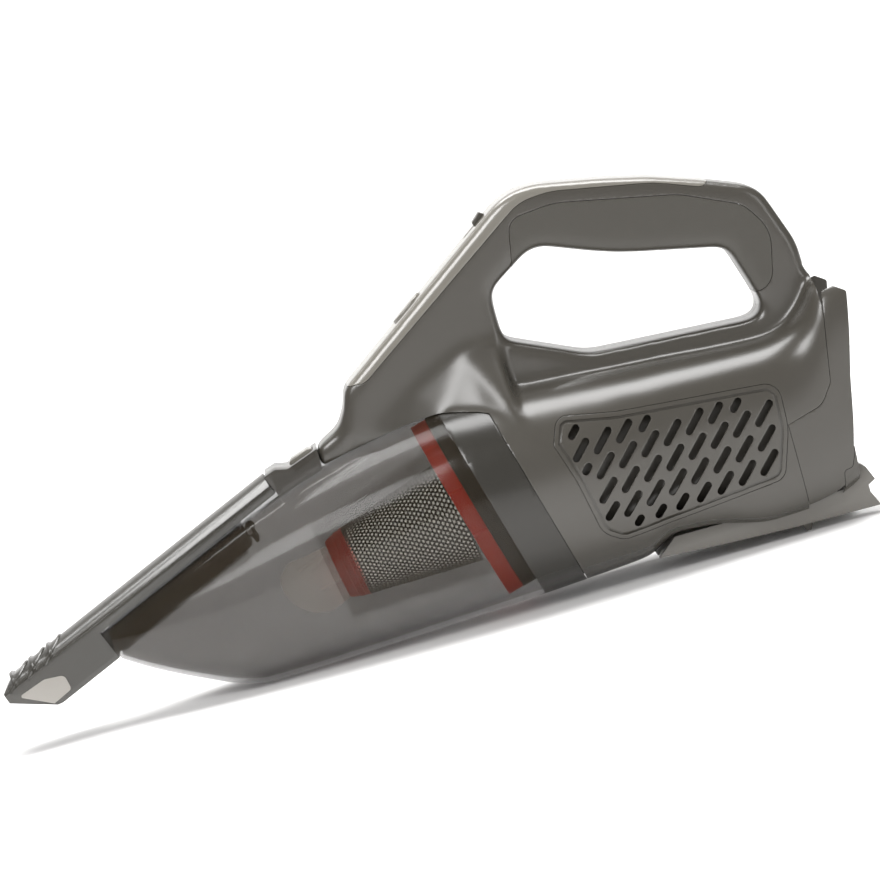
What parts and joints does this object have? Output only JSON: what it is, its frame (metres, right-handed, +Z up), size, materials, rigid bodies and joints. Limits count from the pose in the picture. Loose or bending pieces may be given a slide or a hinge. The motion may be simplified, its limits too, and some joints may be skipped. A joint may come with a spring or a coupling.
{
  "type": "handheld vacuum",
  "caption": "Cordless handheld vacuum with a smoke dust bowl, slide-out crevice nozzle, twist-lock filter, loop handle, vented motor housing and a rail for a slide-on battery.",
  "frame": {"origin": "centre of the footprint of the vacuum resting on its belly and its battery catch", "axes": "+X to the rear, so the nozzle points to -X; +Z up; -Y is the left side"},
  "size_m": [0.4491, 0.105, 0.2003],
  "materials": {
    "grey_plastic": "satin moulded",
    "trim_plastic": "gloss",
    "soft_touch": "fine texture",
    "steel": "turned",
    "smoke_clear": "tinted gloss",
    "rubber": "matt",
    "black_plastic": "satin",
    "red_plastic": "satin",
    "steel_mesh": "perforated",
    "filter_paper": "pleated",
    "clear_plastic": "frosted",
    "iron": "matt",
    "led_lens": "diffusing",
    "board": "solder mask",
    "light_plastic": "satin",
    "brass": "plated"
  },
  "bodies": {
    "housing": {"housing_left": "grey_plastic", "housing_right": "grey_plastic", "vent_cover_left": "grey_plastic", "vent_cover_right": "grey_plastic", "spine_trim": "trim_plastic", "soft_grip": "soft_touch", "rear_cover": "grey_plastic", "housing_screws": "steel", "bowl_seal": "rubber", "filter_bulkhead": "black_plastic", "fan_shroud": "black_plastic", "motor_can": "steel", "motor_bearing": "steel", "motor_magnets": "iron", "motor_mount": "black_plastic", "status_led": "led_lens", "latch_pin": "steel", "circuit_board": "board", "power_switch": "black_plastic", "battery_rail": "light_plastic", "battery_catch": "light_plastic", "terminal_block": "black_plastic", "battery_contacts": "brass"},
    "bowl": {"dust_bowl": "smoke_clear", "flap_pin": "steel"},
    "nozzle": {"crevice_nozzle": "smoke_clear"},
    "nozzle_latch": {"nozzle_latch_button": "trim_plastic"},
    "flap": {"inlet_flap": "rubber"},
    "filter": {"filter_carrier": "black_plastic", "filter_collar": "red_plastic", "filter_seal": "rubber", "prefilter_shroud": "smoke_clear", "mesh_screen": "steel_mesh", "prefilter_end_cap": "red_plastic", "pleated_filter": "filter_paper", "flow_deflector": "clear_plastic"},
    "rotor": {"fan_impeller": "black_plastic", "motor_shaft": "steel"},
    "slider": {"power_slider": "grey_plastic"},
    "button": {"release_button": "trim_plastic"},
    "latch": {"release_latch": "black_plastic"}
  },
  "joints": [
    {"name": "bowl_release", "type": "slide", "parent": "housing", "child": "bowl", "axis": [-0.967, 0, -0.2546], "range_m": [0, 0.11]},
    {"name": "nozzle_extend", "type": "slide", "parent": "bowl", "child": "nozzle", "axis": [-0.9239, 0, -0.3827], "range_m": [0, 0.06]},
    {"name": "nozzle_latch_press", "type": "slide", "parent": "bowl", "child": "nozzle_latch", "axis": [0.3827, 0, -0.9239], "range_m": [0, 0.0015], "stiffness_N_per_m": 1500, "springref_m": -0.0004},
    {"name": "flap_swing", "type": "hinge", "parent": "bowl", "child": "flap", "pos_m": [-0.0863, 0, 0.07552], "axis": [0, -1, 0], "range_deg": [0, 50]},
    {"name": "filter_twist", "type": "hinge", "parent": "bowl", "child": "filter", "pos_m": [0.05145, 0, 0.06417], "axis": [0.967, 0, 0.2546], "range_deg": [0, 20]},
    {"name": "fan_spin", "type": "hinge", "parent": "housing", "child": "rotor", "pos_m": [0.054, 0, 0.0545], "axis": [0.967, 0, 0.2546], "continuous": true},
    {"name": "power_slide", "type": "slide", "parent": "housing", "child": "slider", "axis": [-0.82, 0, -0.5724], "range_m": [0, 0.008]},
    {"name": "button_press", "type": "slide", "parent": "housing", "child": "button", "axis": [0.5724, 0, -0.82], "range_m": [0, 0.003], "stiffness_N_per_m": 1500, "springref_m": -0.0005},
    {"name": "latch_rock", "type": "hinge", "parent": "housing", "child": "latch", "pos_m": [0.01, 0, 0.139], "axis": [0, 1, 0], "range_deg": [0, 11]}
  ],
  "couplings": [
    {"joint": "latch_rock", "follows": "button_press", "rad_per_m": 63}
  ]
}
